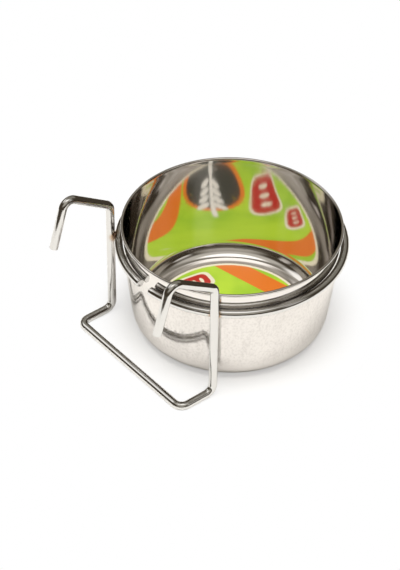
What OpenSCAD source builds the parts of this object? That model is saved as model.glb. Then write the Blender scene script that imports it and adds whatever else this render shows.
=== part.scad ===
// Hook-on coop cup: a drawn steel cup that drops into an open wire ring,
// with a bent wire hanger welded to the ring and hooked over a cage wire.
// Millimetres, +Z up. The cup's axis is X = Y = 0 and its base stands on Z = 0.
// The hanger is on the -Y side and its hooks point towards -Y.

/* [Cup] */
// Outer diameter over the rolled rim
rim_d = 94.8; // [60:0.2:160]
// Height from the base to the top of the rim
cup_h = 51; // [35:0.5:90]
// Thickness of the drawn sheet
sheet_t = 0.5; // [0.4:0.05:0.9]
// Diameter of the rolled bead along the rim
bead_d = 1.3; // [1:0.1:2.5]
// Lean of the wall from the vertical, in degrees
wall_taper = 4.9; // [3:0.1:9]
// Half the turn of the wall's gentle outward curve, in degrees
wall_curve = 2.8; // [0.5:0.1:3]
// Outer radius where the wall turns into the base
base_curve_r = 8; // [4:0.5:14]

/* [Label] */
// Bare metal between the label's edge and the curve up to the wall
label_margin = 1; // [0.5:0.5:10]
// Thickness of the label
label_t = 0.2; // [0.1:0.05:0.4]

/* [Wire] */
// Diameter of the ring's and the hanger's wire
wire_d = 3.7; // [2.5:0.1:5]
// Radius of every bend in the hanger, on the wire's centre line
bend_r = 4; // [3.5:0.1:5]
// Diameter that the wire loses where it is bent
bend_thinning = 0.02; // [0.01:0.01:0.1]
// Bevel round each cut end of the wire
end_bevel = 0.35; // [0.1:0.05:0.6]

/* [Ring] */
// Depth of the ring's centre below the top of the rim
ring_drop = 9; // [6:0.1:14]
// Gap between the cup's wall and the ring
seat_gap = 0.2; // [0.1:0.05:0.6]
// Opening between the ring's two cut ends, along the centre line
ring_gap = 7; // [3:0.5:20]
// Turn of that opening from the middle of the hanger, in degrees
ring_gap_turn = 2; // [-10:1:10]

/* [Hanger] */
// Turn of each upright round the ring, from the middle of the hanger, in degrees
upright_turn = 42; // [25:0.5:60]
// Height of each upright's top corner above the ring's centre
upright_rise = 16.1; // [8:0.1:30]
// Reach of each hook's arm out from its upright
arm_reach = 22.7; // [14:0.1:40]
// Climb of that arm over its reach
arm_rise = 14.6; // [4:0.1:24]
// Reach of each hook's tip beyond the end of the arm
tip_reach = 6.9; // [0:0.1:14]
// Drop of each hook's tip from the end of the arm
tip_drop = 22.8; // [14:0.1:36]
// Reach of the foot from the uprights out to the crossbar
foot_reach = 17.5; // [10:0.1:30]

/* [Welds] */
// Depth to which each weld presses the two wires together
weld_sink = 0.2; // [0.05:0.05:0.4]
// Diameter of the metal squeezed out round each weld
weld_d = 3.2; // [2:0.1:4.5]

/* [Hidden] */
$fn = 48;
wire_r = wire_d / 2;
bend_lap = 1;
bead_r = bead_d / 2;
revolve_fn = 180;

// Cup profile: base, bottom curve, wall and bead follow one another
foot_lean = wall_taper + wall_curve;
top_lean = wall_taper - wall_curve;
bead_x = rim_d / 2 - bead_r;
bead_z = cup_h - bead_r;
wall_top_x = rim_d / 2 - bead_d + sheet_t;
bead_start = -acos((wall_top_x - bead_x) / bead_r);
wall_top_z = bead_z + bead_r * sin(bead_start);
foot_z = base_curve_r * (1 - sin(foot_lean));
wall_chord = (wall_top_z - foot_z) / cos(wall_taper);
wall_arc_r = wall_chord / 2 / sin(wall_curve);
wall_arc_x = wall_top_x - wall_arc_r * cos(top_lean);
wall_arc_z = wall_top_z + wall_arc_r * sin(top_lean);
foot_x = wall_top_x - wall_chord * sin(wall_taper);
flat_r = foot_x - base_curve_r * cos(foot_lean);
label_r = flat_r - label_margin;

// The ring touches the wall all round, less the gap
ring_z = cup_h - ring_drop;
ring_reach = wall_arc_r + seat_gap + wire_r;
ring_r = wall_arc_x + sqrt(pow(ring_reach, 2) - pow(ring_z - wall_arc_z, 2));
ring_gap_angle = 2 * asin(ring_gap / 2 / ring_r);

// The uprights stand against the outside of the ring
upright_r = ring_r + wire_d - weld_sink;
upright_x = upright_r * sin(upright_turn);
upright_y = -upright_r * cos(upright_turn);
floor_z = wire_r;
top_z = ring_z + upright_rise;
hook_y = upright_y - arm_reach;
hook_z = top_z + arm_rise;
tip_y = hook_y - tip_reach;
tip_z = hook_z - tip_drop;
crossbar_y = upright_y - foot_reach;
foot_mid_y = (upright_y + crossbar_y) / 2;

// Points on a circular arc from one angle to another
function arc_points(x, z, r, from, to, steps) =
    [for (i = [0 : steps]) let (a = from + (to - from) * i / steps) [x + r * cos(a), z + r * sin(a)]];

// Smallest signed turn from one heading to the next
function turn_between(a, b) = (b - a + 540) % 360 - 180;

// Heading of the line from one point to the next
function heading(p, q) = atan2(q[1] - p[1], q[0] - p[0]);

// Length of straight that the bend at corner i uses up on each side
function bend_cut(points, i) = (i == 0 || i == len(points) - 1) ? 0 :
    bend_r * tan(abs(turn_between(heading(points[i - 1], points[i]), heading(points[i], points[i + 1]))) / 2);

// One straight length of wire in the XY plane, starting at a point
module wire_straight(start, angle, length) {
    translate([start[0], start[1], 0])
        rotate([0, 0, angle])
            rotate([0, 90, 0])
                cylinder(h = length, d = wire_d);
}

// One bend in the XY plane, which starts at a point and turns left or right.
// It runs a little way into the straights at both ends.
module wire_bend(start, angle, turn) {
    side = turn > 0 ? 1 : -1;
    translate([start[0] - side * bend_r * sin(angle), start[1] + side * bend_r * cos(angle), 0])
        rotate([0, 0, (turn > 0 ? angle - 90 : angle + 90 + turn) - bend_lap])
            rotate_extrude(angle = abs(turn) + 2 * bend_lap, $fn = revolve_fn)
                translate([bend_r, 0])
                    circle(d = wire_d - bend_thinning);
}

// Wire along a flat path of corner points, with a bend at each inner corner
module wire_path(points) {
    for (i = [0 : len(points) - 2]) {
        angle = heading(points[i], points[i + 1]);
        along = [cos(angle), sin(angle)];
        start = points[i] + along * bend_cut(points, i);
        finish = points[i + 1] - along * bend_cut(points, i + 1);
        wire_straight(start, angle, norm(finish - start));
        if (i < len(points) - 2)
            wire_bend(finish, angle, turn_between(angle, heading(points[i + 1], points[i + 2])));
    }
}

// Bevel that stands on a cut end of the wire and points along an angle
module cut_end(at, angle) {
    translate([at[0], at[1], 0])
        rotate([0, 0, angle])
            rotate([0, 90, 0])
                cylinder(h = end_bevel, d1 = wire_d, d2 = wire_d - 2 * end_bevel);
}

// Hook, upright and half of the foot leg, in the plane of one side
module hanger_side() {
    corners = [[tip_y, tip_z], [hook_y, hook_z], [upright_y, top_z], [upright_y, floor_z], [foot_mid_y, floor_z]];
    tip_angle = heading(corners[1], corners[0]);
    rotate([90, 0, 90]) {
        wire_path(corners);
        cut_end(corners[0], tip_angle);
    }
}

// Drawn cup with a tapered wall and a rolled rim
module cup() {
    outside = concat(
        arc_points(flat_r, base_curve_r, base_curve_r, -90, -foot_lean, 12),
        arc_points(wall_arc_x, wall_arc_z, wall_arc_r, -foot_lean, -top_lean, 10)
    );
    rim = arc_points(bead_x, bead_z, bead_r, bead_start, 180, 18);
    inside = concat(
        arc_points(wall_arc_x, wall_arc_z, wall_arc_r - sheet_t, -top_lean, -foot_lean, 10),
        arc_points(flat_r, base_curve_r, base_curve_r - sheet_t, -foot_lean, -90, 12)
    );
    color("gainsboro")
        rotate_extrude($fn = revolve_fn)
            polygon(concat([[0, 0]], outside, rim, inside, [[0, sheet_t]]));
}

// Round printed label on the cup's floor
module label() {
    color("yellowgreen")
        translate([0, 0, sheet_t])
            cylinder(h = label_t, r = label_r, $fn = revolve_fn);
}

// Open wire ring that the cup drops into
module holder_ring() {
    first_end = -90 + ring_gap_turn + ring_gap_angle / 2;
    color("silver")
        translate([0, 0, ring_z])
            rotate([0, 0, first_end])
                rotate_extrude(angle = 360 - ring_gap_angle, $fn = revolve_fn)
                    translate([ring_r, 0])
                        circle(d = wire_d);
}

// One wire bent into two hooks, two uprights and a foot with a crossbar
module hanger_wire() {
    color("silver") {
        translate([upright_x, 0, 0])
            hanger_side();
        translate([-upright_x, 0, 0])
            hanger_side();
        translate([0, 0, floor_z])
            wire_path([[-upright_x, foot_mid_y], [-upright_x, crossbar_y], [upright_x, crossbar_y], [upright_x, foot_mid_y]]);
    }
}

// Metal squeezed out where an upright is welded to the ring
module weld(side) {
    contact_r = ring_r + wire_r - weld_sink / 2;
    color("rosybrown")
        translate([side * contact_r * sin(upright_turn), -contact_r * cos(upright_turn), ring_z])
            sphere(d = weld_d);
}

module weld_left() {
    weld(-1);
}

module weld_right() {
    weld(1);
}

cup();
label();
holder_ring();
hanger_wire();
weld_left();
weld_right();
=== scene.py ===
"""Hook-on coop cup: a polished steel cup in a welded wire holder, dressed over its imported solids."""

import logging
import math
from dataclasses import dataclass
from enum import Enum
from typing import Any, Iterable, Optional, Union

import bmesh
import bpy
from mathutils import Matrix, Vector


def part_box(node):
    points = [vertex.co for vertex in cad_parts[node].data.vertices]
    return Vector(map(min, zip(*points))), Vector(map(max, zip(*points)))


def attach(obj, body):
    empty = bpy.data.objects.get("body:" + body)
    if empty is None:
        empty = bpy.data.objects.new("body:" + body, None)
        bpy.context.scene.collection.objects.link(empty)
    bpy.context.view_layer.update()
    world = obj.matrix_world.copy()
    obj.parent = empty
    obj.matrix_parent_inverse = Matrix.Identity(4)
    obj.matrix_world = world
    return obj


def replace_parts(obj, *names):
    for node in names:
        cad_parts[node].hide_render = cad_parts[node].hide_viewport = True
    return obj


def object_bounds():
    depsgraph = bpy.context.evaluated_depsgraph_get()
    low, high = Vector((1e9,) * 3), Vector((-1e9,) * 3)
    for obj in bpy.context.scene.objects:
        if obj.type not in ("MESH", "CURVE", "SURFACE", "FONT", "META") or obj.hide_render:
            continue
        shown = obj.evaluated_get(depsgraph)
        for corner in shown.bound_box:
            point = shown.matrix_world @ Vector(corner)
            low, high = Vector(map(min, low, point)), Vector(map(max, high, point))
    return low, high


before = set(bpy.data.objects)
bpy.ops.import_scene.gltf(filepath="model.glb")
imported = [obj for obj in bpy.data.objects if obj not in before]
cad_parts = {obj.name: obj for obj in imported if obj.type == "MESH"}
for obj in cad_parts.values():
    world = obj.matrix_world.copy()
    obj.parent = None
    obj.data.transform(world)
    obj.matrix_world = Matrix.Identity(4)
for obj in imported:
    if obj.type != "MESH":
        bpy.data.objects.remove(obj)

CAD_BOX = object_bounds()
LOG = logging.getLogger("coop_cup")
MM = 0.001

Colour = tuple[float, float, float]


class Body(Enum):
    """The two bodies that move against each other."""

    HOLDER = "holder"
    CUP = "cup"


class Slot(Enum):
    """The material slots of the finishes."""

    CUP = "cup_steel"
    WIRE = "wire_steel"
    LABEL = "label_film"
    WELD = "weld_steel"


# Shader maths ---------------------------------------------------------------------------------


class Signal:
    """One output of a node tree, with arithmetic that adds the nodes it needs."""

    def __init__(self, net: "NodeNet", socket: bpy.types.NodeSocket) -> None:
        """Wraps a socket.

        Args:
            net: The tree that the socket is in.
            socket: The output to carry.
        """
        self.net = net
        self.socket = socket

    def _with(self, operation: str, first: "Value", second: "Value") -> "Signal":
        """Adds one Math node.

        Args:
            operation: The Math node's operation.
            first: Its first input.
            second: Its second input.

        Returns:
            The node's value.
        """
        return self.net.add("ShaderNodeMath", "Value", {"operation": operation}, {0: first, 1: second})

    def __add__(self, other: "Value") -> "Signal":
        """Returns the sum."""
        return self._with("ADD", self, other)

    __radd__ = __add__

    def __sub__(self, other: "Value") -> "Signal":
        """Returns the difference."""
        return self._with("SUBTRACT", self, other)

    def __rsub__(self, other: "Value") -> "Signal":
        """Returns the reflected difference."""
        return self._with("SUBTRACT", other, self)

    def __mul__(self, other: "Value") -> "Signal":
        """Returns the product."""
        return self._with("MULTIPLY", self, other)

    __rmul__ = __mul__

    def __truediv__(self, other: "Value") -> "Signal":
        """Returns the quotient."""
        return self._with("DIVIDE", self, other)

    def __pow__(self, other: "Value") -> "Signal":
        """Returns the power."""
        return self._with("POWER", self, other)

    def least(self, other: "Value") -> "Signal":
        """Returns the smaller of the two."""
        return self._with("MINIMUM", self, other)

    def size(self) -> "Signal":
        """Returns the value without its sign."""
        return self._with("ABSOLUTE", self, 0.0)

    def rise(self, low: float, high: float, to_low: float = 0.0, to_high: float = 1.0) -> "Signal":
        """Maps a stretch of values smoothly on to another.

        Args:
            low: Where the rise starts.
            high: Where it ends.
            to_low: The result at and below low.
            to_high: The result at and above high.

        Returns:
            The mapped value.
        """
        inputs = {"Value": self, "From Min": low, "From Max": high, "To Min": to_low, "To Max": to_high}
        return self.net.add("ShaderNodeMapRange", "Result", {"interpolation_type": "SMOOTHSTEP"}, inputs)


Value = Union[Signal, float, Colour, tuple[float, float, float, float]]
Inputs = dict[Union[str, int], Value]


class NodeNet:
    """A material's or world's node tree, built from plain calls."""

    def __init__(self, tree: bpy.types.NodeTree) -> None:
        """Empties a tree.

        Args:
            tree: The tree to build in.
        """
        self.tree = tree
        tree.nodes.clear()

    def add(self, kind: str, output: Optional[Union[str, int]], settings: dict[str, Any],
            inputs: Inputs) -> Optional[Signal]:
        """Adds one node.

        Args:
            kind: The node's Blender type.
            output: The output that is wanted, or None.
            settings: The node's own settings, set before its inputs. "stops" fills a colour ramp.
            inputs: What each input gets, by name or number.

        Returns:
            The wanted output, if one is.
        """
        node = self.tree.nodes.new(kind)
        for name, value in settings.items():
            if name == "stops":
                self._fill_ramp(node.color_ramp, value)
            else:
                setattr(node, name, value)
        for name, value in inputs.items():
            socket = node.inputs[name]
            if isinstance(value, Signal):
                self.tree.links.new(value.socket, socket)
            elif isinstance(value, tuple) and socket.type == "RGBA" and len(value) == 3:
                socket.default_value = (*value, 1.0)
            else:
                socket.default_value = value
        return None if output is None else Signal(self, node.outputs[output])

    @staticmethod
    def _fill_ramp(ramp: bpy.types.ColorRamp, stops: Iterable[tuple[float, Colour]]) -> None:
        """Fills a colour ramp.

        Args:
            ramp: The ramp to fill.
            stops: Places and colours, lowest first.
        """
        stops = list(stops)
        while len(ramp.elements) < len(stops):
            ramp.elements.new(1.0)
        for element, (place, colour) in zip(ramp.elements, stops):
            element.position = place
            element.color = (*colour, 1.0)

    def place(self) -> Signal:
        """Returns the place on the object, in metres from the middle of the cup's base."""
        return self.add("ShaderNodeTexCoord", "Object", {}, {})

    def parts(self, vector: Signal) -> tuple[Signal, Signal, Signal]:
        """Splits a vector.

        Args:
            vector: The vector.

        Returns:
            Its X, Y and Z.
        """
        x = self.add("ShaderNodeSeparateXYZ", "X", {}, {"Vector": vector})
        outputs = x.socket.node.outputs
        return x, Signal(self, outputs["Y"]), Signal(self, outputs["Z"])

    def joined(self, x: Value, y: Value, z: Value) -> Signal:
        """Returns a vector of three values."""
        return self.add("ShaderNodeCombineXYZ", "Vector", {}, {"X": x, "Y": y, "Z": z})

    def scaled(self, vector: Signal, factors: Colour) -> Signal:
        """Returns a vector times one factor for each axis."""
        settings = {"operation": "MULTIPLY"}
        return self.add("ShaderNodeVectorMath", "Vector", settings, {0: vector, 1: factors})

    def distance(self, vector: Signal, point: Union[Signal, Colour]) -> Signal:
        """Returns how far a place is from a point."""
        return self.add("ShaderNodeVectorMath", "Value", {"operation": "DISTANCE"}, {0: vector, 1: point})

    def noise(self, vector: Signal, feature_mm: float, detail: float = 2.0) -> Signal:
        """Returns soft noise around 0.5.

        Args:
            vector: The place, in metres.
            feature_mm: The size of a typical blotch.
            detail: Octaves of finer noise.

        Returns:
            The noise.
        """
        inputs = {"Vector": vector, "Scale": 1.0 / (feature_mm * MM), "Detail": detail}
        return self.add("ShaderNodeTexNoise", "Fac", {}, inputs)

    def mix(self, factor: Value, first: Value, second: Value) -> Signal:
        """Returns a colour between two colours."""
        return self.add("ShaderNodeMix", 2, {"data_type": "RGBA"}, {0: factor, 6: first, 7: second})

    def bump(self, height: Signal, depth_mm: float, below: Optional[Signal] = None) -> Signal:
        """Returns a bumped normal.

        Args:
            height: The relief, from 0 to 1.
            depth_mm: How deep it is.
            below: A bumped normal that this one adds to.

        Returns:
            The normal.
        """
        inputs: Inputs = {"Height": height, "Distance": depth_mm * MM, "Strength": 1.0}
        if below is not None:
            inputs["Normal"] = below
        return self.add("ShaderNodeBump", "Normal", {}, inputs)

    def surface(self, inputs: Inputs) -> None:
        """Ends a material in a Principled surface.

        Args:
            inputs: What its sockets get.
        """
        shader = self.add("ShaderNodeBsdfPrincipled", "BSDF", {}, inputs)
        self.add("ShaderNodeOutputMaterial", None, {}, {"Surface": shader})


def new_material(name: str) -> tuple[bpy.types.Material, NodeNet]:
    """Makes an empty material.

    Args:
        name: Its name.

    Returns:
        The material and its node tree.
    """
    material = bpy.data.materials.new(name)
    material.use_nodes = True
    return material, NodeNet(material.node_tree)


# Finishes -------------------------------------------------------------------------------------


@dataclass(frozen=True)
class CupSteel:
    """Mirror-polished drawn sheet with spin lines, finger marks and a few scratches."""

    colour: Colour = (0.78, 0.755, 0.735)
    smudge_colour: Colour = (0.70, 0.675, 0.655)
    stain_colour: Colour = (0.60, 0.575, 0.555)
    polish: float = 0.045
    smudged: float = 0.13
    wall_lean: float = 4.9
    outer_face: float = 42.25 * MM
    marks_top: float = 43.0 * MM

    def material(self) -> bpy.types.Material:
        """Makes the finish.

        Returns:
            Its material.
        """
        material, net = new_material("cup_steel")
        place = net.place()
        x, y, z = net.parts(place)
        marks = net.noise(place, 9.0, 5.0).rise(0.50, 0.72)
        grease = net.noise(place, 2.2, 4.0).rise(0.45, 0.8)
        dirt = marks * grease
        radius = net.distance(net.joined(x, y, 0.0), (0.0, 0.0, 0.0))
        around = net.joined(x * 0.06, y * 0.06, z + radius)
        lines = net.noise(around, 0.35, 3.0)
        waves = net.noise(place, 22.0, 1.0)
        upright_radius = radius - z * math.tan(math.radians(self.wall_lean))
        below_ring = z.rise(self.marks_top, self.marks_top - 4.0 * MM)
        outside = upright_radius.rise(self.outer_face, self.outer_face + 0.3 * MM) * below_ring
        mottle = net.noise(net.scaled(place, (1.0, 1.0, 0.8)), 1.0, 5.0).rise(0.42, 0.68) * outside
        streaks = net.noise(net.scaled(place, (1.0, 1.0, 0.12)), 3.0, 3.0).rise(0.48, 0.70) * outside
        normal = net.bump(waves, 0.035)
        normal = net.bump(mottle, 0.0035, net.bump(lines, 0.0006, normal))
        rough = dirt * (self.smudged - self.polish) + lines * 0.03 + mottle * 0.05
        rough = rough + streaks * 0.06 + self.polish
        colour = net.mix(dirt, self.colour, self.smudge_colour)
        colour = net.mix((mottle * 0.50 + streaks * 0.20).least(1.0), colour, self.stain_colour)
        net.surface({"Base Color": colour, "Metallic": 1.0,
                     "Roughness": rough, "Normal": normal})
        return material


@dataclass(frozen=True)
class WireSteel:
    """Bright drawn wire with fine lines along it and heat tint round its welds."""

    welds: tuple[Colour, ...]
    colour: Colour = (0.70, 0.697, 0.69)
    straw: Colour = (0.52, 0.38, 0.26)
    scorch: Colour = (0.12, 0.075, 0.055)
    tint_reach: float = 3.4 * MM

    def material(self) -> bpy.types.Material:
        """Makes the finish.

        Returns:
            Its material.
        """
        material, net = new_material("wire_steel")
        place = net.place()
        along = net.add("ShaderNodeAttribute", "Vector", {"attribute_name": "wire_place"}, {})
        lines = net.noise(net.scaled(along, (1.0, 1.0, 0.03)), 0.25, 2.0)
        patches = net.noise(place, 6.0, 3.0)
        near = net.distance(place, self.welds[0])
        for weld in self.welds[1:]:
            near = near.least(net.distance(place, weld))
        heat = (near + (patches - 0.5) * (1.2 * MM)) / self.tint_reach
        straw = net.mix(heat.rise(0.5, 1.0), self.straw, self.colour)
        colour = net.mix(heat.rise(0.25, 0.62), self.scorch, straw)
        rough = lines * 0.08 + patches * 0.05 + heat.rise(0.3, 1.0, 0.25, 0.0) + 0.04
        net.surface({"Base Color": colour, "Metallic": 1.0, "Roughness": rough,
                     "Normal": net.bump(lines, 0.0015)})
        return material


@dataclass(frozen=True)
class WeldSteel:
    """Dull, scorched metal squeezed out of a weld."""

    colour: Colour = (0.30, 0.20, 0.15)
    scorch: Colour = (0.07, 0.045, 0.035)

    def material(self) -> bpy.types.Material:
        """Makes the finish.

        Returns:
            Its material.
        """
        material, net = new_material("weld_steel")
        grain = net.noise(net.place(), 0.6, 4.0)
        colour = net.mix(grain.rise(0.35, 0.65), self.scorch, self.colour)
        net.surface({"Base Color": colour, "Metallic": 1.0, "Roughness": grain * 0.3 + 0.25,
                     "Normal": net.bump(grain, 0.05)})
        return material


@dataclass(frozen=True)
class Spot:
    """One plain printed shape: an ellipse, or with a higher power a rounded box."""

    centre: tuple[float, float]
    half: tuple[float, float]
    turn: float = 0.0
    power: float = 2.0

    def reach(self, net: NodeNet, across: Signal, along: Signal) -> Signal:
        """Returns roughly how many millimetres a place lies outside the shape.

        Args:
            net: The tree to work in.
            across: The place's first coordinate on the label, in millimetres.
            along: The second.

        Returns:
            The distance, below 0 inside.
        """
        cos, sin = math.cos(math.radians(self.turn)), math.sin(math.radians(self.turn))
        x, y = across - self.centre[0], along - self.centre[1]
        first = (x * cos + y * sin).size() / self.half[0]
        second = (y * cos - x * sin).size() / self.half[1]
        whole = (first ** self.power + second ** self.power) ** (1.0 / self.power)
        return (whole - 1.0) * min(self.half)

    def grain(self, step: float) -> "Spot":
        """Makes a small grain that lies across the shape, on its long axis.

        Args:
            step: Its place, from -1 at one end of the shape to 1 at the other.

        Returns:
            The grain.
        """
        turn = math.radians(self.turn)
        middle = (self.centre[0] + step * self.half[0] * math.cos(turn),
                  self.centre[1] + step * self.half[0] * math.sin(turn))
        return Spot(middle, (self.half[1] * 0.42, self.half[1] * 0.20), self.turn + 90.0)


@dataclass(frozen=True)
class LabelPrint:
    """Gloss film with a generic print: a lime field, a charcoal patch with a seed head, plain plaques."""

    radius: float
    turn: float = 50.0
    lime: Colour = (0.50, 0.74, 0.045)
    lime_deep: Colour = (0.33, 0.58, 0.03)
    border: Colour = (0.86, 0.80, 0.62)
    charcoal: Colour = (0.045, 0.045, 0.038)
    orange: Colour = (0.80, 0.20, 0.022)
    red: Colour = (0.52, 0.022, 0.018)
    white: Colour = (0.84, 0.82, 0.76)

    def material(self) -> bpy.types.Material:
        """Makes the finish.

        Returns:
            Its material.
        """
        material, net = new_material("label_film")
        x, y, _ = net.parts(net.place())
        flat = net.joined(x, y, 0.0)
        turn = math.radians(self.turn)
        across = (x * math.cos(turn) + y * math.sin(turn)) * 1000.0
        along = (y * math.cos(turn) - x * math.sin(turn)) * 1000.0
        colour = net.mix(net.noise(flat, 18.0, 2.0).rise(0.3, 0.7), self.lime_deep, self.lime)

        def paint(below: Signal, ink: Colour, *spots: Spot, grow: float = 0.0) -> Signal:
            """Prints shapes over what is below.

            Args:
                below: The print so far.
                ink: The shapes' colour.
                spots: The shapes.
                grow: How many millimetres the shapes swell.

            Returns:
                The print with the shapes on it.
            """
            nearest = spots[0].reach(net, across, along)
            for spot in spots[1:]:
                nearest = nearest.least(spot.reach(net, across, along))
            return net.mix((nearest - grow).rise(0.12, -0.12), below, ink)

        patch = Spot((14.0, -13.0), (19.0, 14.5), 25.0, 2.4)
        stripe = Spot((24.0, 14.0), (24.0, 2.6), -38.0, 8.0)
        plaques = (Spot((-18.0, -5.0), (12.5, 8.0), 68.0, 4.0),
                   Spot((-15.5, 20.0), (7.0, 4.2), 30.0, 4.0))
        grains = tuple(plaque.grain(step) for plaque in plaques for step in (-0.5, 0.0, 0.5))
        stem = Spot((12.0, -8.0), (16.0, 1.1), 118.0, 4.0)
        seeds = tuple(Spot((16.2 - 2.5 * i + side * 3.4, -14.5 + 4.6 * i + side * 1.7), (3.9, 1.6),
                           118.0 - side * 38.0) for i in range(4) for side in (-1, 1))
        crown = Spot((20.0, -22.6), (4.2, 1.9), 118.0)
        colour = paint(colour, self.orange, patch, stripe, grow=2.2)
        colour = paint(colour, self.charcoal, patch)
        colour = paint(colour, self.white, stem, crown, *seeds)
        colour = paint(colour, self.border, *plaques, grow=1.1)
        colour = paint(colour, self.red, *plaques)
        colour = paint(colour, self.border, *grains)
        edge = net.distance(flat, (0.0, 0.0, 0.0)).rise(self.radius - 1.35 * MM, self.radius - 1.15 * MM)
        colour = net.mix(edge, colour, self.border)
        print_grain = net.noise(flat, 0.25, 2.0)
        colour = net.mix(print_grain.rise(0.35, 0.65, 0.0, 0.10), colour, (0.10, 0.12, 0.05))
        creases = net.noise(flat, 7.0, 3.0)
        net.surface({"Base Color": colour, "Roughness": creases * 0.12 + 0.26, "Coat Weight": 0.35,
                     "Coat Roughness": 0.12,
                     "Normal": net.bump(print_grain, 0.003, net.bump(creases, 0.05))})
        return material


# Shapes ---------------------------------------------------------------------------------------


def arc(centre: tuple[float, float], radius: float, start: float, end: float,
        steps: int) -> list[Vector]:
    """Returns points along an arc in the XZ plane.

    Args:
        centre: The arc's centre, as X and Z.
        radius: Its radius.
        start: Its first angle, in degrees.
        end: Its last angle, in degrees.
        steps: How many straight lengths it is cut into.

    Returns:
        The points, from the first angle to the last.
    """
    angles = [math.radians(start + (end - start) * i / steps) for i in range(steps + 1)]
    return [Vector((centre[0] + radius * math.cos(a), 0.0, centre[1] + radius * math.sin(a)))
            for a in angles]


def turned(profile: list[Vector], steps: int) -> bmesh.types.BMesh:
    """Turns an open profile round the Z axis into a closed shell.

    Args:
        profile: Points in the XZ plane, from the axis and back to it.
        steps: How many steps the full turn is cut into.

    Returns:
        The shell.
    """
    bm = bmesh.new()
    points = [bm.verts.new(point) for point in profile]
    edges = [bm.edges.new(pair) for pair in zip(points, points[1:])]
    bmesh.ops.spin(bm, geom=[*points, *edges], cent=(0, 0, 0), axis=(0, 0, 1), dvec=(0, 0, 0),
                   angle=math.tau, steps=steps, use_merge=True, use_normal_flip=False, use_duplicate=False)
    bmesh.ops.remove_doubles(bm, verts=bm.verts, dist=0.001 * MM)
    bmesh.ops.recalc_face_normals(bm, faces=bm.faces)
    return bm


def make_piece(name: str, bm: bmesh.types.BMesh, material: bpy.types.Material,
               sharp: float = 40.0) -> bpy.types.Object:
    """Makes an object of a finished mesh.

    Args:
        name: The object's name.
        bm: The mesh, which is freed.
        material: Its material.
        sharp: Edges that turn more than this many degrees stay sharp.

    Returns:
        The object, at the origin.
    """
    mesh = bpy.data.meshes.new(name)
    bm.to_mesh(mesh)
    bm.free()
    mesh.shade_smooth()
    mesh.set_sharp_from_angle(angle=math.radians(sharp))
    mesh.materials.append(material)
    piece = bpy.data.objects.new(name, mesh)
    bpy.context.scene.collection.objects.link(piece)
    LOG.info("%s: %d faces", name, len(mesh.polygons))
    return piece


def seat(piece: bpy.types.Object, body: Body, slot: Slot, *nodes: str) -> bpy.types.Object:
    """Puts a piece on its body, in place of CAD nodes.

    Args:
        piece: The piece.
        body: The body that it rides on.
        slot: A material slot; not used.
        nodes: The CAD nodes that it stands for.

    Returns:
        The piece.
    """
    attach(piece, body.value)
    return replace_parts(piece, *nodes)


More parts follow.
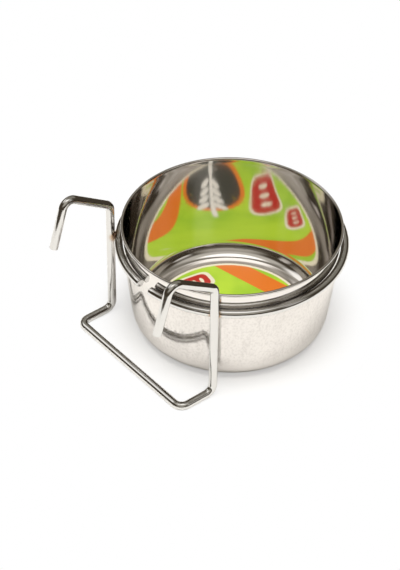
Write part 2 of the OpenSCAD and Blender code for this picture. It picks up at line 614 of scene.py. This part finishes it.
class WireTube:
    """A round wire, made by pushing one ring of points along a path."""

    SIDES = 40
    BEND_STEP = math.radians(3.0)
    END_STEPS = 4

    def __init__(self, radius: float, start: Vector, heading: Vector) -> None:
        """Starts a wire.

        Args:
            radius: The wire's radius.
            start: The middle of its first end.
            heading: The way it sets off.
        """
        self.radius = radius
        self.point = start.copy()
        self.heading = heading.normalized()
        self.travelled = 0.0
        self.bm = bmesh.new()
        self.layer = self.bm.verts.layers.float_vector.new("wire_place")
        turn = self.heading.to_track_quat("Z", "Y").to_matrix().to_4x4()
        place = Matrix.Translation(start) @ turn
        made = bmesh.ops.create_circle(self.bm, cap_ends=False, radius=radius, segments=self.SIDES,
                                       matrix=place)
        back = place.inverted()
        for corner in made["verts"]:
            corner[self.layer] = back @ corner.co
        self.ring = list(self.bm.edges)
        self.start = (list(self.ring), self.point.copy(), -self.heading)

    def _take(self, geometry: list[Any]) -> list[bmesh.types.BMVert]:
        """Makes fresh geometry the wire's leading ring.

        Args:
            geometry: What an operator made last.

        Returns:
            The ring's points.
        """
        points = {item for item in geometry if isinstance(item, bmesh.types.BMVert)}
        edges = [item for item in geometry if isinstance(item, bmesh.types.BMEdge)]
        self.ring = [edge for edge in edges if points.issuperset(edge.verts)]
        for point in points:
            place = point[self.layer]
            point[self.layer] = Vector((place.x, place.y, self.travelled))
        return list(points)

    def straight(self, length: float) -> None:
        """Runs straight on for a length."""
        self.travelled += length
        made = bmesh.ops.extrude_edge_only(self.bm, edges=self.ring)
        points = self._take(made["geom"])
        step = self.heading * length
        bmesh.ops.translate(self.bm, vec=step, verts=points)
        self.point += step

    def bend(self, pivot: Vector, axis: Vector, angle: float) -> None:
        """Bends round a pivot.

        Args:
            pivot: The middle of the bend.
            axis: The axis that it turns about.
            angle: How far it turns, in radians.
        """
        steps = max(1, math.ceil(abs(angle) / self.BEND_STEP))
        step = angle / steps
        reach = (self.point - pivot).length
        for _ in range(steps):
            self.travelled += reach * abs(step)
            corners = {corner for edge in self.ring for corner in edge.verts}
            made = bmesh.ops.spin(self.bm, geom=[*corners, *self.ring], cent=pivot, axis=axis,
                                  dvec=(0, 0, 0), angle=step, steps=1, use_merge=False,
                                  use_normal_flip=False, use_duplicate=False)
            self._take(made["geom_last"])
        turn = Matrix.Rotation(angle, 3, axis)
        self.point = pivot + turn @ (self.point - pivot)
        self.heading = turn @ self.heading

    def follow(self, corners: list[Vector], bend_radius: float) -> None:
        """Follows a path of corner points, with a bend at each inner corner.

        Args:
            corners: The path, from where the wire is now.
            bend_radius: The radius of every bend, on the wire's centre line.
        """
        for i, corner in enumerate(corners[1:], start=1):
            length = (corner - self.point).length
            if i == len(corners) - 1:
                self.straight(length)
                return
            onward = (corners[i + 1] - corner).normalized()
            angle = self.heading.angle(onward)
            self.straight(length - bend_radius * math.tan(angle / 2))
            axis = self.heading.cross(onward).normalized()
            self.bend(self.point + axis.cross(self.heading) * bend_radius, axis, angle)

    def _close(self, ring: list[bmesh.types.BMEdge], centre: Vector, heading: Vector,
               bevel: float) -> None:
        """Rounds and closes one cut end.

        Args:
            ring: The end's edges.
            centre: The end's middle.
            heading: The way that the end faces.
            bevel: The radius of its rounded edge.
        """
        self.ring = ring
        inset, reach = 0.0, 0.0
        for i in range(1, self.END_STEPS + 1):
            turn = math.radians(90.0 * i / self.END_STEPS)
            made = bmesh.ops.extrude_edge_only(self.bm, edges=self.ring)
            points = self._take(made["geom"])
            out, drawn = bevel * math.sin(turn), bevel * (1.0 - math.cos(turn))
            factor = (self.radius - drawn) / (self.radius - inset)
            space = Matrix.Translation(-(centre + heading * reach))
            bmesh.ops.scale(self.bm, vec=(factor,) * 3, space=space, verts=points)
            bmesh.ops.translate(self.bm, vec=heading * (out - reach), verts=points)
            inset, reach = drawn, out
        bmesh.ops.edgeloop_fill(self.bm, edges=self.ring)

    def finish(self, bevel: float) -> bmesh.types.BMesh:
        """Closes both ends.

        Args:
            bevel: The radius of each end's rounded edge.

        Returns:
            The wire's mesh.
        """
        self._close(self.ring, self.point, self.heading, bevel)
        self._close(*self.start, bevel)
        bmesh.ops.recalc_face_normals(self.bm, faces=self.bm.faces)
        return self.bm


# Sub-assemblies -------------------------------------------------------------------------------


@dataclass
class Cup:
    """The drawn cup and the label on its floor."""

    rim_radius: float
    height: float
    label_radius: float
    label_top: float
    sheet: float = 0.5 * MM
    bead: float = 1.3 * MM
    taper: float = 4.9
    curve: float = 2.8
    base_curve: float = 8.0 * MM
    steps: int = 360

    @classmethod
    def from_frame(cls) -> "Cup":
        """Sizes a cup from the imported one.

        Returns:
            The cup.
        """
        _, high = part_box("cup")
        _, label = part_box("label")
        return cls(rim_radius=high.x, height=high.z, label_radius=label.x, label_top=label.z)

    def profile(self) -> list[Vector]:
        """Works out half of the cup's section.

        Returns:
            Its points, from the axis under the base to the axis on the floor.
        """
        bead = self.bead / 2
        bead_x, bead_z = self.rim_radius - bead, self.height - bead
        top_x = self.rim_radius - self.bead + self.sheet
        meet = -math.degrees(math.acos((top_x - bead_x) / bead))
        top_z = bead_z + bead * math.sin(math.radians(meet))
        foot_lean, top_lean = self.taper + self.curve, self.taper - self.curve
        foot_z = self.base_curve * (1 - math.sin(math.radians(foot_lean)))
        chord = (top_z - foot_z) / math.cos(math.radians(self.taper))
        wall = chord / 2 / math.sin(math.radians(self.curve))
        wall_at = (top_x - wall * math.cos(math.radians(top_lean)),
                   top_z + wall * math.sin(math.radians(top_lean)))
        foot_x = top_x - chord * math.sin(math.radians(self.taper))
        flat = foot_x - self.base_curve * math.cos(math.radians(foot_lean))
        turn_at = (flat, self.base_curve)
        return [
            Vector((0.0, 0.0, 0.0)),
            *arc(turn_at, self.base_curve, -90.0, -foot_lean, 28),
            *arc(wall_at, wall, -foot_lean, -top_lean, 30)[1:],
            *arc((bead_x, bead_z), bead, meet, 180.0, 24)[1:],
            *arc(wall_at, wall - self.sheet, -top_lean, -foot_lean, 30),
            *arc(turn_at, self.base_curve - self.sheet, -foot_lean, -90.0, 28)[1:],
            Vector((0.0, 0.0, self.sheet)),
        ]

    def build(self) -> None:
        """Makes the cup and its label."""
        shell = make_piece("drawn_cup", turned(self.profile(), self.steps), CupSteel().material())
        seat(shell, Body.CUP, Slot.CUP, "cup")
        edge = self.label_top - self.sheet
        outline = [
            Vector((0.0, 0.0, self.sheet)),
            Vector((self.label_radius, 0.0, self.sheet)),
            *arc((self.label_radius - edge / 2, self.label_top - edge / 2), edge / 2, 0.0, 90.0, 3),
            Vector((0.0, 0.0, self.label_top)),
        ]
        film = make_piece("floor_label", turned(outline, 180), LabelPrint(self.label_radius).material())
        seat(film, Body.CUP, Slot.LABEL, "label")


@dataclass
class Holder:
    """The wire ring, the bent hanger and the two welds that join them."""

    wire: float
    ring_radius: float
    ring_height: float
    bend: float = 4.0 * MM
    end_bevel: float = 0.35 * MM
    gap: float = 7.0 * MM
    gap_turn: float = 2.0
    upright_turn: float = 42.0
    weld_sink: float = 0.2 * MM
    weld_size: float = 3.2 * MM
    upright_rise: float = 16.1 * MM
    arm_reach: float = 22.7 * MM
    arm_rise: float = 14.6 * MM
    tip_reach: float = 6.9 * MM
    tip_drop: float = 22.8 * MM
    foot_reach: float = 17.5 * MM

    @classmethod
    def from_frame(cls) -> "Holder":
        """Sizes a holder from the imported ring.

        Returns:
            The holder.
        """
        low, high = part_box("holder_ring")
        wire = high.z - low.z
        return cls(wire=wire, ring_radius=high.y - wire / 2, ring_height=(low.z + high.z) / 2)

    def around(self, side: int, reach: float) -> Vector:
        """Returns a place beside an upright, at the ring's height.

        Args:
            side: -1 for the left upright, 1 for the right.
            reach: How far it is from the cup's axis.

        Returns:
            The place.
        """
        turn = math.radians(self.upright_turn)
        return Vector((side * reach * math.sin(turn), -reach * math.cos(turn), self.ring_height))

    def weld_points(self) -> tuple[Colour, ...]:
        """Returns where the two welds are."""
        reach = self.ring_radius + (self.wire - self.weld_sink) / 2
        return tuple(tuple(self.around(side, reach)) for side in (-1, 1))

    def hanger_path(self) -> list[Vector]:
        """Works out the hanger's corners.

        Returns:
            The corners, from the left tip to the right one.
        """
        upright = self.around(-1, self.ring_radius + self.wire - self.weld_sink)
        top = self.ring_height + self.upright_rise
        floor = self.wire / 2
        steps = [
            (upright.y - self.arm_reach - self.tip_reach, top + self.arm_rise - self.tip_drop),
            (upright.y - self.arm_reach, top + self.arm_rise),
            (upright.y, top),
            (upright.y, floor),
            (upright.y - self.foot_reach, floor),
        ]
        left = [Vector((upright.x, y, z)) for y, z in steps]
        right = [Vector((-upright.x, y, z)) for y, z in reversed(steps)]
        return left + right

    def build(self) -> None:
        """Makes the ring, the hanger and the welds."""
        steel = WireSteel(self.weld_points()).material()
        opening = math.asin(self.gap / 2 / self.ring_radius)
        first = math.radians(-90.0 + self.gap_turn) + opening
        start = Vector((math.cos(first), math.sin(first), 0.0)) * self.ring_radius
        centre = Vector((0.0, 0.0, self.ring_height))
        ring = WireTube(self.wire / 2, centre + start, Vector((-math.sin(first), math.cos(first), 0.0)))
        ring.bend(centre, Vector((0.0, 0.0, 1.0)), math.tau - 2 * opening)
        loop = make_piece("wire_ring", ring.finish(self.end_bevel), steel)
        seat(loop, Body.HOLDER, Slot.WIRE, "holder_ring")
        path = self.hanger_path()
        hanger = WireTube(self.wire / 2, path[0], path[1] - path[0])
        hanger.follow(path, self.bend)
        hooks = make_piece("wire_hanger", hanger.finish(self.end_bevel), steel)
        seat(hooks, Body.HOLDER, Slot.WIRE, "hanger_wire")
        weld_steel = WeldSteel().material()
        for name, node, point in zip(("weld_bead_left", "weld_bead_right"), ("weld_left", "weld_right"),
                                     self.weld_points()):
            bm = bmesh.new()
            bmesh.ops.create_icosphere(bm, subdivisions=4, radius=self.weld_size / 2)
            bmesh.ops.translate(bm, vec=point, verts=bm.verts)
            seat(make_piece(name, bm, weld_steel), Body.HOLDER, Slot.WELD, node)


# Studio ---------------------------------------------------------------------------------------


@dataclass
class ProductCamera:
    """The camera, which looks down into the cup over the hanger's right-hand hook."""

    azimuth: float = 50.0
    elevation: float = 40.26
    roll: float = 0.885
    distance: float = 804.8 * MM
    aim: tuple[float, float, float] = (0.0, 0.0, 25.0 * MM)
    aim_right: float = -13.34 * MM
    aim_up: float = -6.45 * MM
    lens: float = 117.48
    sensor: float = 36.0

    def build(self) -> None:
        """Makes the camera and makes it the scene's."""
        a, e, r = (math.radians(v) for v in (self.azimuth, self.elevation, self.roll))
        back = Vector((math.sin(a) * math.cos(e), -math.cos(a) * math.cos(e), math.sin(e)))
        level = Vector((math.cos(a), math.sin(a), 0.0))
        rise = back.cross(level)
        right = level * math.cos(r) + rise * math.sin(r)
        up = rise * math.cos(r) - level * math.sin(r)
        data = bpy.data.cameras.new("product_camera")
        data.lens = self.lens
        data.sensor_width = self.sensor
        data.sensor_fit = "AUTO"
        camera = bpy.data.objects.new("product_camera", data)
        place = Vector(self.aim) + back * self.distance + right * self.aim_right + up * self.aim_up
        camera.matrix_world = Matrix.Translation(place) @ Matrix((right, up, back)).transposed().to_4x4()
        bpy.context.scene.collection.objects.link(camera)
        bpy.context.scene.camera = camera


@dataclass(frozen=True)
class Card:
    """One soft-edged patch of light in the room, by its turn from the camera and its height."""

    turn: float
    half: float
    low: float
    high: float
    light: Colour
    side_blur: float = 8.0
    blur: float = 5.0

    def over(self, below: Value, ahead: Signal, across: Signal, height: Signal) -> Signal:
        """Lays the patch over the room so far.

        Args:
            below: The room's light without the patch.
            ahead: The level heading's share towards the camera.
            across: Its share to the camera's right.
            height: The direction's height, in degrees.

        Returns:
            The room's light with the patch.
        """
        inside = (height.rise(self.low - self.blur, self.low + self.blur)
                  * height.rise(self.high + self.blur, self.high - self.blur))
        if self.half < 180.0:
            middle = math.radians(self.turn)
            towards = ahead * math.cos(middle) + across * math.sin(middle)
            outer = math.cos(math.radians(min(180.0, self.half + self.side_blur)))
            inner = math.cos(math.radians(max(0.0, self.half - self.side_blur)))
            inside = inside * towards.rise(outer, inner)
        return ahead.net.mix(inside, below, self.light)


@dataclass(frozen=True)
class Room:
    """The room round the studio table, as the light that comes from each side of it."""

    facing: float = 50.0
    walls: Colour = (0.065, 0.052, 0.036)
    cards: tuple[Card, ...] = (
        Card(180.0, 75.0, 28.0, 100.0, (0.27, 0.25, 0.21), 20.0, 8.0),
        Card(0.0, 30.0, 20.0, 50.0, (0.46, 0.43, 0.37), 22.0, 8.0),
        Card(0.0, 95.0, 50.0, 100.0, (0.58, 0.55, 0.49), 20.0, 6.0),
        Card(-118.0, 20.0, 36.0, 58.0, (1.20, 1.17, 1.12), 10.0, 6.0),
        Card(62.0, 8.0, 22.0, 40.0, (0.75, 0.72, 0.67), 8.0, 8.0),
        Card(-5.0, 80.0, 69.0, 100.0, (1.65, 1.61, 1.54), 14.0, 5.0),
    )

    def world(self) -> bpy.types.World:
        """Makes the room, which the camera sees as plain white.

        Returns:
            The room as a world.
        """
        world = bpy.data.worlds.new("room")
        world.use_nodes = True
        net = NodeNet(world.node_tree)
        x, y, z = net.parts(net.add("ShaderNodeTexCoord", "Generated", {}, {}))
        turn = math.radians(self.facing)
        level = (x * x + y * y + 1e-6) ** 0.5
        ahead = (x * math.sin(turn) - y * math.cos(turn)) / level
        across = (x * math.cos(turn) + y * math.sin(turn)) / level
        height = net.add("ShaderNodeMath", "Value", {"operation": "ARCSINE"}, {0: z}) * math.degrees(1.0)
        light: Value = self.walls
        for card in self.cards:
            light = card.over(light, ahead, across, height)
        seen = net.add("ShaderNodeLightPath", "Is Camera Ray", {}, {})
        white = net.mix(seen, light, (1.0, 1.0, 1.0))
        shader = net.add("ShaderNodeBackground", "Background", {}, {"Color": white, "Strength": 1.0})
        net.add("ShaderNodeOutputWorld", None, {}, {"Surface": shader})
        return world


@dataclass
class Studio:
    """A round white table under one long soft lamp, in a dim room."""

    table_radius: float = 0.28
    table_colour: Colour = (0.97, 0.965, 0.955)
    table_glow: float = 0.42
    table_gap: float = 0.02 * MM
    shadow_start: float = 38.0 * MM
    shadow_end: float = 64.0 * MM
    lamp_place: Colour = (0.16, -0.135, 1.2)
    lamp_width: float = 0.84
    lamp_depth: float = 0.46
    lamp_power: float = 13.8
    lamp_colour: Colour = (1.0, 0.985, 0.955)

    def build(self) -> None:
        """Makes the table top, the lamp and the room."""
        bm = bmesh.new()
        bmesh.ops.create_circle(bm, cap_ends=True, radius=self.table_radius, segments=128)
        bmesh.ops.translate(bm, vec=(0.0, 0.0, CAD_BOX[0].z - self.table_gap), verts=bm.verts)
        make_piece("table_top", bm, self._table_white())
        self._lamp()
        scene = bpy.context.scene
        scene.world = Room().world()
        scene.view_settings.view_transform = "Standard"

    def _table_white(self) -> bpy.types.Material:
        """Makes the table's white, which keeps a faint shadow under the cup.

        Returns:
            Its material.
        """
        material, net = new_material("table_white")
        plain = net.add("ShaderNodeBsdfDiffuse", "BSDF", {}, {"Color": self.table_colour})
        glow = net.add("ShaderNodeEmission", "Emission", {}, {"Color": (1.0, 1.0, 1.0), "Strength": 1.0})
        camera = net.add("ShaderNodeLightPath", "Is Camera Ray", {}, {})
        reach = net.distance(net.place(), (0.0, 0.0, 0.0))
        share = camera * reach.rise(self.shadow_start, self.shadow_end, self.table_glow, 1.0)
        both = net.add("ShaderNodeMixShader", "Shader", {}, {0: share, 1: plain, 2: glow})
        net.add("ShaderNodeOutputMaterial", None, {}, {"Surface": both})
        return material

    def _lamp(self) -> None:
        """Makes the soft lamp over the cup. The steel shows the room's bright cards in its place."""
        data = bpy.data.lights.new("softbox", "AREA")
        data.shape = "RECTANGLE"
        data.size = self.lamp_width
        data.size_y = self.lamp_depth
        data.energy = self.lamp_power
        data.color = self.lamp_colour
        lamp = bpy.data.objects.new("softbox", data)
        lamp.visible_glossy = False
        turn = Matrix.Rotation(math.radians(Room().facing), 4, "Z")
        lamp.matrix_world = Matrix.Translation(self.lamp_place) @ turn
        bpy.context.scene.collection.objects.link(lamp)


def main() -> None:
    """Builds the cup, the holder and the studio, in that order."""
    logging.basicConfig(level=logging.INFO, format="%(message)s")
    ProductCamera().build()
    Cup.from_frame().build()
    Holder.from_frame().build()
    Studio().build()


if __name__ == "__main__":
    main()
